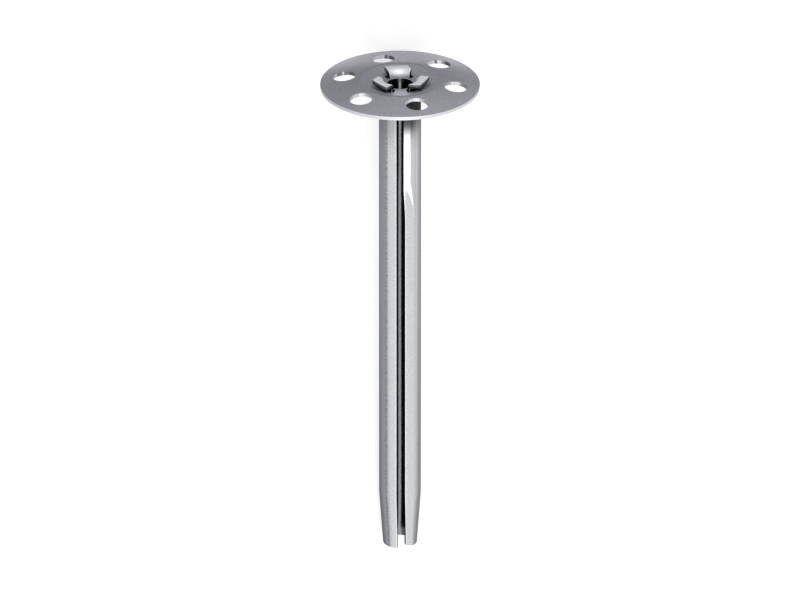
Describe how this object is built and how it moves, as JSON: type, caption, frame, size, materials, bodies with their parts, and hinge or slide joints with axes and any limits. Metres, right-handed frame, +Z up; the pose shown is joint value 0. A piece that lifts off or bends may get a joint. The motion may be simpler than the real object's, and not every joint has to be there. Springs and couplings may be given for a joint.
{
  "type": "insulation anchor",
  "caption": "Slit steel sleeve anchor for insulation boards, with a domed pressure plate held by bent tongues.",
  "frame": {"origin": "bottom centre of the lying anchor's bounding box, on the ground that its rim and tip rest on", "axes": "+X runs from the sleeve's tip to the plate, seen from above; the sleeve's own axis rises 7 degrees towards the plate; +Z is up and the slit faces up"},
  "size_m": [0.113, 0.035, 0.0347],
  "materials": {
    "plate_zinc": "zinc-coated sheet steel, fine matt grain",
    "sleeve_zinc": "zinc-coated sheet steel, satin with drawing lines"
  },
  "bodies": {
    "root": {"plate": "plate_zinc", "sleeve": "sleeve_zinc"}
  },
  "joints": []
}
